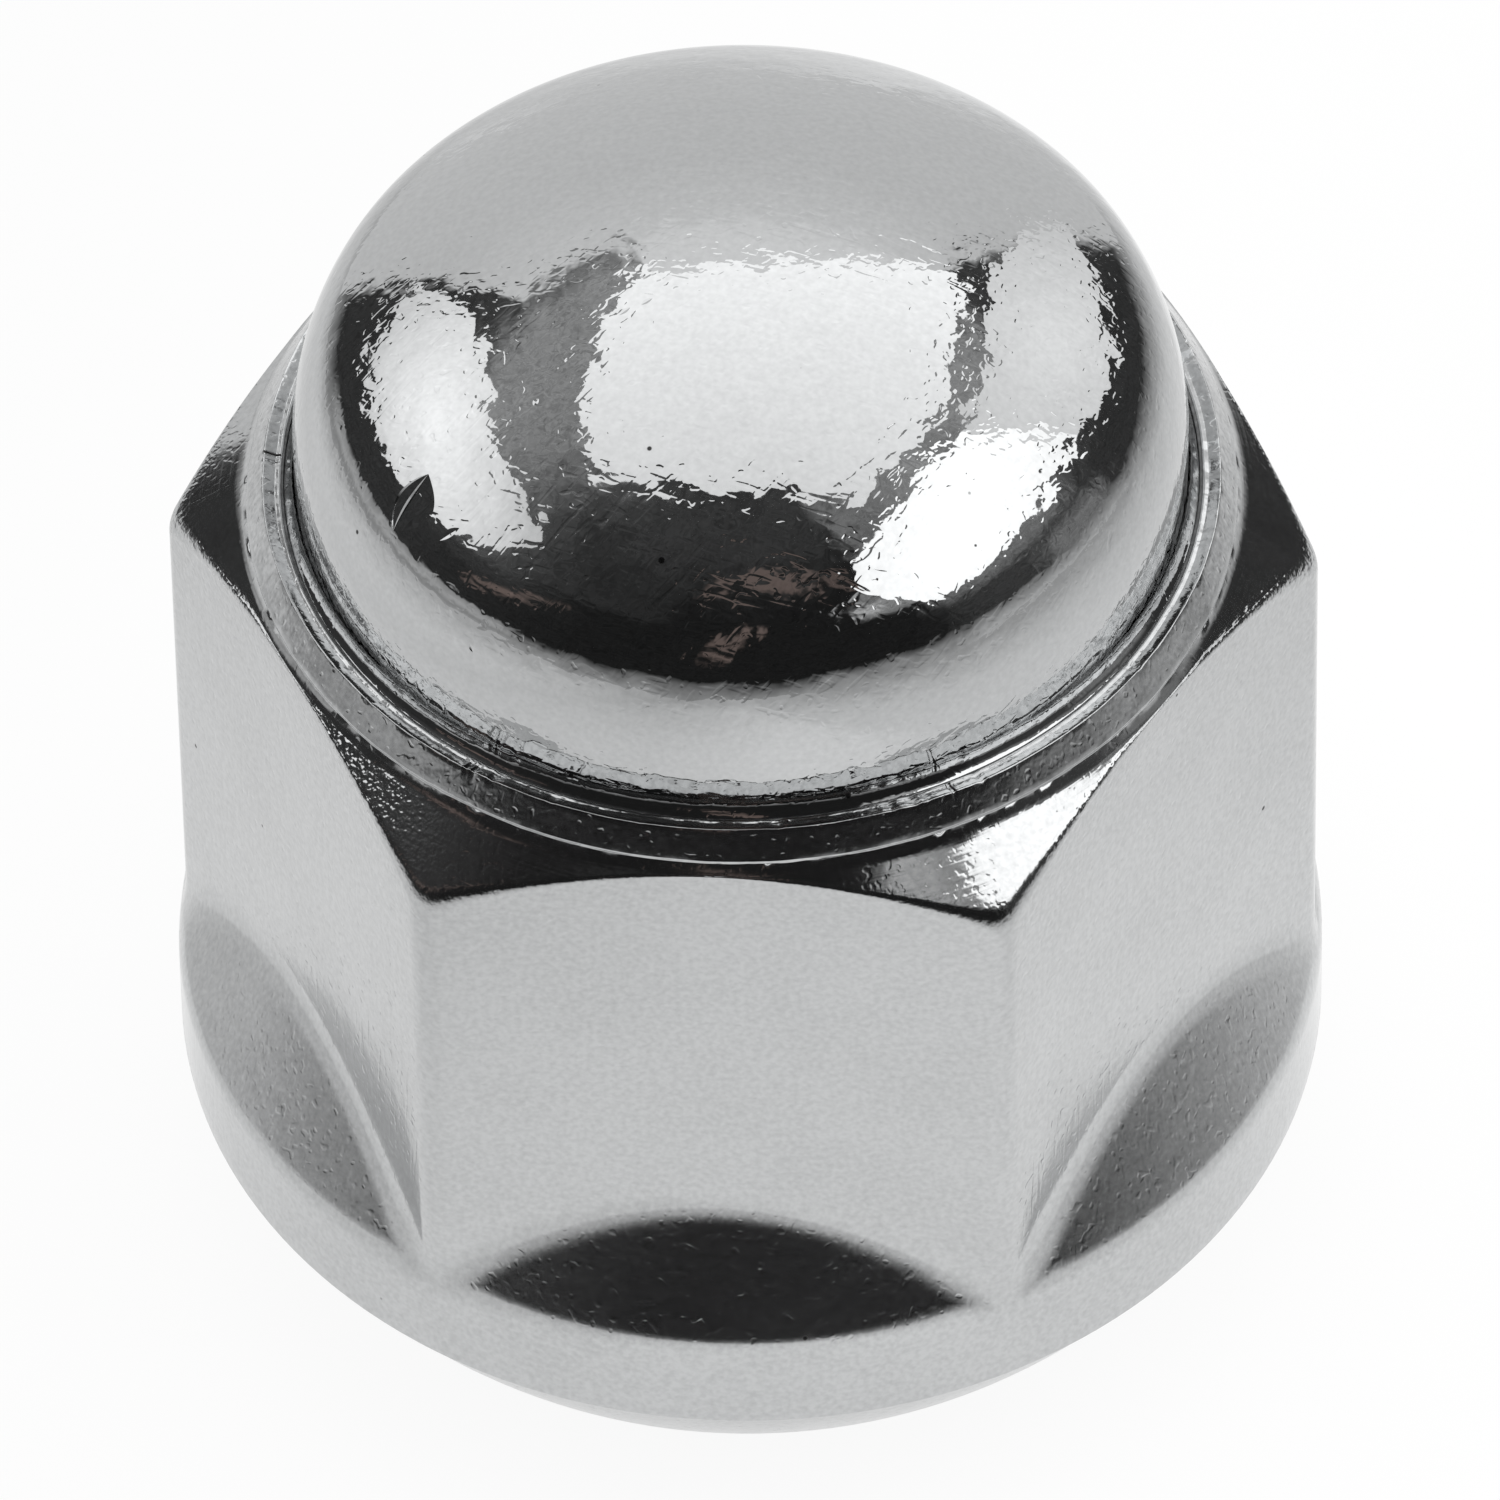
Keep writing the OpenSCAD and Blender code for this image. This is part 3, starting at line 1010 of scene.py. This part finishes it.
body = Skin()
rings = [body.ring(r, z, columns) for r, z in end_face + seat]
for k, row in enumerate(outside):
    on_chamfer = k > edge_row + 3
    edge = np.maximum(chipped * math.exp(-(((k - edge_row) / WORN_ROWS) ** 2)), rubbed * on_chamfer)
    dull = np.clip(2 - 2 * towards_corner, 0, 1) if k in FORGED_ROWS else 0.0
    turned = 1.0 if on_chamfer or k < len(collar) else 0.0
    rings.append(body.ring(row[:, 0], row[:, 1], columns, edge=edge, dull=dull, machined=turned))
for low, high in zip(rings, rings[1:]):
    body.quads(low, high)
print("body up to the lip's foot:", len(rings), "rings")

# %% [markdown]
# ## The rolled lip
#
# A roller bends the body's thin top wall in over the cap's rim. That leaves a small step at the chamfer, a
# rounded ridge on top, and an inner wall that leans down to the cap's flare. The section is drawn corner by
# corner like the others, but with much smaller arcs.

# %% Section of the lip
STEP_R = FLAT_R - 0.16
LIP_OUTER_R = 9.02
LIP_TROUGH_R = 8.79
LIP_RIDGE_R = 8.705
LIP_INNER_R = 8.675
LIP_FOOT_R = 8.6
COUNTERBORE_R = 8.79
FLARE_Z = HEX_TOP_Z + 1.01  # middle of the flare of the cap's rim
STEP_FOOT_Z = HEX_TOP_Z + 0.2
STEP_TOP_Z = HEX_TOP_Z + 0.26
RIDGE_Z = LIP_TOP_Z - 0.076

lip = rounded(
    [
        [CHAMFER_END_R, chamfer_z(CHAMFER_END_R)],
        [STEP_R, STEP_FOOT_Z],
        [STEP_R, STEP_TOP_Z],
        [LIP_OUTER_R, LIP_TOP_Z + 0.005],
        [LIP_TROUGH_R, RIDGE_Z - 0.02],
        [LIP_RIDGE_R, RIDGE_Z],
        [LIP_INNER_R, RIDGE_Z - 0.055],
        [LIP_FOOT_R, FLARE_Z - 0.354],
        [COUNTERBORE_R, FLARE_Z - 0.43],
        [COUNTERBORE_R, RIM_LOW_Z],
    ],
    radii=[0.02, 0.03, 0.025, 0.02, 0.03, 0.02, 0.02, 0.02],
    arc_steps=[2, 2, 5, 2, 4, 2, 2, 1],
    line_steps=[2, 2, 6, 5, 2, 1, 3, 1, 2],
)[:, 0]
print("lip:", len(lip), "rows, its top", round(LIP_TOP_Z - HEX_TOP_Z, 3), "mm above the hexagon")

# %% [markdown]
# ### The torn steel of the lip
#
# Rolling stretches the steel, so its top face is torn and has small radial cracks. The lip gets three times
# as many columns as the body. Its section is moved in and out by smooth noise that closes on itself, and
# narrow notches are cut across the top face, at places drawn by a seeded random generator.

# %% Ripples and notches
LIP_TIMES = 3
NOTCHES = 110
RANDOM_SEED = 12
RIPPLE_R = 9  # about the lip's own radius
column_gaps = (np.roll(columns, -1) - columns) % math.tau
lip_columns = (columns[:, None] + column_gaps[:, None] * np.arange(LIP_TIMES) / LIP_TIMES).ravel()


def ripple(row, size, seed):
    """Smooth noise from -1 to 1 that closes on itself round the lip, with waves of a size in mm."""
    way = RIPPLE_R / size
    places = [(way * math.cos(a), way * math.sin(a), row + 37.0 * seed) for a in lip_columns]
    return np.array([noise.noise(Vector(place)) for place in places])


random.seed(RANDOM_SEED)
notch_at = [random.uniform(0, math.tau) for _ in range(NOTCHES)]
notch_wide = [random.uniform(0.002, 0.006) for _ in range(NOTCHES)]
notch_deep = [random.choice([0.006, 0.01, 0.02, 0.035]) for _ in range(NOTCHES)]
notch = np.zeros(len(lip_columns))
for at, wide, deep in zip(notch_at, notch_wide, notch_deep):
    away = (lip_columns - at + math.pi) % math.tau - math.pi
    notch = np.maximum(notch, deep * np.exp(-((away / wide) ** 4)))
print(NOTCHES, "notches, up to", round(notch.max(), 3), "mm deep, on", len(lip_columns), "columns")

# %% [markdown]
# ### Rings of the lip
#
# Only what the roller touched is moved: where the lip meets the chamfer and at the foot of its inner wall,
# the section stays true. The first ring lies on the body's last one and melts into it at the weld. The step
# and the inner wall carry the "dull" mark, which makes them rougher and darker, because no polish reaches
# them. The inner wall's is far above 1, which makes it nearly black: that is painted shade in the narrow gap
# between the lip and the cap's rim.

# %% Rings of the lip
STEP_ROWS = range(1, 5)
STEP_RIPPLE = 0.012
TEETH, FINE_TEETH = 0.007, 0.003
TEETH_RISE = 0.004  # and no higher than this
STAIN_STEP = 0.6
# painted shade: the inner wall in the gap under the cap's rim is painted nearly black, with dull steel
INNER_WALL_SHADE_AND_DULL = 4.5
long_wave = 0.016 * ripple(0, 1.6, 1)
step_wave = STEP_RIPPLE * ripple(0, 1.1, 6)


def serration(k):
    """Fine teeth that change slowly from row to row."""
    return TEETH * ripple(k * 0.12, 0.45, 2) + FINE_TEETH * ripple(k * 0.3, 0.17, 3)


def stain_and_painted_shade(r, z):
    """How stained the lip is at a point of its section, and on the inner wall the painted shade of the gap
    under the cap's rim.
    """
    # the inner wall: painted shade of the gap under the cap, with dull steel
    if z < RIDGE_Z - 0.03 and r < LIP_RIDGE_R - 0.01:
        return INNER_WALL_SHADE_AND_DULL
    return STAIN_STEP if z > STEP_TOP_Z + 0.02 and r > LIP_OUTER_R + 0.02 else 0.0


lip_rings = []
for k, (r, z) in enumerate(lip):
    on_face = LIP_RIDGE_R - 0.02 < r < LIP_OUTER_R + 0.02 and z > RIDGE_Z - 0.06
    teeth = serration(k)
    shift_r = (long_wave + teeth) * (k > 1) * (r > LIP_INNER_R - 0.01)
    shift_z = np.minimum(0.7 * teeth, TEETH_RISE) * (z > STEP_TOP_Z - 0.02) - notch * on_face
    if k in STEP_ROWS:
        shift_z = shift_z + STEP_RIPPLE * ripple(0.6 * k, 0.3, 5) + step_wave
    lip_rings.append(body.ring(r + shift_r, z + shift_z, lip_columns, dull=stain_and_painted_shade(r, z)))
body.stitch(rings[-1], lip_rings[1])
for (r, z), low, high in zip(lip[1:], lip_rings[1:], lip_rings[2:]):
    torn = z > STEP_TOP_Z + 0.04 and r > LIP_TROUGH_R - 0.03
    body.quads(low, high, slot=LIP_SLOT if torn else CHROME_SLOT)
print("lip:", len(lip_rings), "rings of", len(lip_columns), "points")

# %% [markdown]
# ## The thread
#
# The stud's thread is a helix, so its rows climb by one pitch in each turn: every column's section is the
# column before it, slid up a little. The rows are cut off flat at both ends by the countersinks, and the
# weld at the end removes the faces that this squeezes to nothing.

# %% Bore and thread
PITCH = 1.5
THREAD_R = 6.0
CREST_SHARE = 0.25
ROOT_SHARE = 0.125
THREAD_TOP_Z = RIM_LOW_Z
half_crest, root_start, root_end = CREST_SHARE / 2, 0.5 - ROOT_SHARE / 2, 0.5 + ROOT_SHARE / 2
turn_shares = [-half_crest, 0, half_crest, 0.28, root_start, 0.5, root_end, 0.72]
rows_each = len(turn_shares)


def thread_radius(share):
    """Radius of the female thread at a share of a pitch from the middle of its crest."""
    from_crest = abs((share + 0.5) % 1.0 - 0.5)
    climb = min(max((from_crest - half_crest) / (root_start - half_crest), 0.0), 1.0)
    return BORE_R + (THREAD_R - BORE_R) * climb


angle_share = ((columns + math.pi / 2) % math.tau) / math.tau
turns = math.ceil(THREAD_TOP_Z / PITCH) + 2
helix = []
for k in range(turns * rows_each):
    share = k // rows_each + turn_shares[k % rows_each]
    z = np.clip((share - 1.0 + angle_share) * PITCH, 0.0, THREAD_TOP_Z)
    countersink = COUNTERSINK_R - np.minimum(z, THREAD_TOP_Z - z)
    helix.append(body.ring(np.maximum(thread_radius(share), countersink), z, columns))

seam = len(columns) - 1
for k, (low, high) in enumerate(zip(helix, helix[1:])):
    for i in range(seam):
        body.face(low[i + 1], low[i], high[i], high[i + 1], slot=THREAD_SLOT)
    up, up_next = (helix[min(row + rows_each, len(helix) - 1)] for row in (k, k + 1))
    body.face(up[0], low[seam], high[seam], up_next[0], slot=THREAD_SLOT)
print("thread:", turns, "turns,", len(helix), "rows")

# %% [markdown]
# ### The floor under the cap
#
# The cap's rim stands on a flat floor between the lip's inside and the thread. With it the body's skin is
# closed, and the piece can be handed over.

# %% Floor, and the body as one piece
floor_inside = body.ring(COUNTERSINK_R, THREAD_TOP_Z, columns)
floor_outside = body.ring(COUNTERBORE_R, THREAD_TOP_Z, columns)
body.stitch(floor_outside, lip_rings[-1], inwards=True)
body.quads(floor_outside, floor_inside)
body.piece("nut_body_visual", "nut_body", BODY_FINISHES)

# %% [markdown]
# ## The dome cap
#
# The cap is pressed from 1 mm sheet: a wide crown, a tighter shoulder that runs into it without a kink, a
# straight skirt and a rim that flares out under the lip. The section is arcs and lines only, and it goes on
# inside at the sheet's thickness, so the dome is hollow where the stud ends.

# %% Outside of the cap
SKIRT_R = RIM_R - 0.35
FLARE_R = 0.45
RIM_WALL = 0.6
OUTER_ARCS = [(24, 4.3, 12), (54.3, 2.3, 22), (89.5, 12.5, 40)]  # end angle, radius and steps
FLARE_STEPS = 12
POLE_RISE = 0.0005


def arc_points(centre_r, centre_z, radius, start, end, steps):
    """Points on an arc between two angles in degrees from the outward direction, ends included."""
    turn = np.radians(np.linspace(start, end, steps + 1))
    return [(centre_r + radius * math.cos(t), centre_z + radius * math.sin(t)) for t in turn]


def run_of_arcs(r, z, arcs):
    """Arcs that follow each other without a kink, from a wall that stands upright at (r, z)."""
    points, angle = [(r, z)], 0.0
    for end, radius, steps in arcs:
        t = math.radians(angle)
        centre_r, centre_z = r - radius * math.cos(t), z - radius * math.sin(t)
        points += arc_points(centre_r, centre_z, radius, angle, end, steps)[1:]
        (r, z), angle = points[-1], end
    return points


dome = run_of_arcs(SKIRT_R, 0.0, OUTER_ARCS)
skirt_top_z = DOME_TOP_Z - dome[-1][1] - POLE_RISE
dome = [(r, z + skirt_top_z) for r, z in dome]
flare_centre = SKIRT_R + FLARE_R
flare_start = 180 + math.degrees(math.acos((flare_centre - RIM_R) / FLARE_R))
section = [(RIM_R, RIM_LOW_Z), (RIM_R, RIM_LOW_Z + RIM_WALL)]
section += arc_points(flare_centre, FLARE_Z, FLARE_R, flare_start, 180, FLARE_STEPS)
section += [(SKIRT_R, FLARE_Z + (skirt_top_z - FLARE_Z) * k / 4) for k in (1, 2, 3)]
section += dome
print("skirt's top at", round(skirt_top_z, 2), "mm, section of", len(section), "points")

# %% [markdown]
# ### Inside of the cap
#
# Inside, one arc for the crown and one for the shoulder follow the outside at the sheet's thickness. Few will
# ever see this surface, so it has fewer points.

# %% Inside of the cap
SHEET = 1.0
SHOULDER_R = 3.65
SHOULDER_Z = HEX_TOP_Z + 2.05
CROWN_R = 13.0
CROWN_START = 89.0
CROWN_STEPS = 12
SHOULDER_STEPS = 16
shoulder_centre = SKIRT_R - SHOULDER_R
shoulder_end = 90 - math.degrees(math.asin(shoulder_centre / (CROWN_R - SHOULDER_R)))
inside = arc_points(0, DOME_TOP_Z - CROWN_R, CROWN_R - SHEET, CROWN_START, shoulder_end, CROWN_STEPS)
inside += arc_points(shoulder_centre, SHOULDER_Z, SHOULDER_R - SHEET, shoulder_end, 0, SHOULDER_STEPS)[1:]
inside += [(SKIRT_R - SHEET, RIM_LOW_Z)]
print("hollow up to", round(DOME_TOP_Z - SHEET, 2), "mm")

# %% [markdown]
# ### The cap as one piece
#
# The cap is truly round, so all its rings are circles. Its columns don't meet the body's, because the two
# pieces aren't joined: the lip only holds the cap's rim.

# %% Cap
CAP_COLUMNS = 360
cap_angles = np.linspace(0, math.tau, CAP_COLUMNS, endpoint=False) - math.pi / 2
cap = Skin()
outer_rings = [cap.ring(r, z, cap_angles) for r, z in section]
inner_rings = [cap.ring(r, z, cap_angles) for r, z in inside]
for low, high in zip(outer_rings, outer_rings[1:]):
    cap.quads(low, high)
cap.lid(outer_rings[-1], DOME_TOP_Z)
for low, high in zip(inner_rings, inner_rings[1:]):
    cap.quads(low, high)
cap.lid(inner_rings[0][::-1], DOME_TOP_Z - SHEET)
cap.quads(inner_rings[-1], outer_rings[0])
cap.piece("dome_cap_visual", "dome_cap", [cap_chrome])

# %% [markdown]
#
# The visual pieces should fill the same box as the solids. The visual box is printed.

low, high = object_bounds()
print("visual box in mm:", [round(v / MM, 2) for v in (*low, *high)])
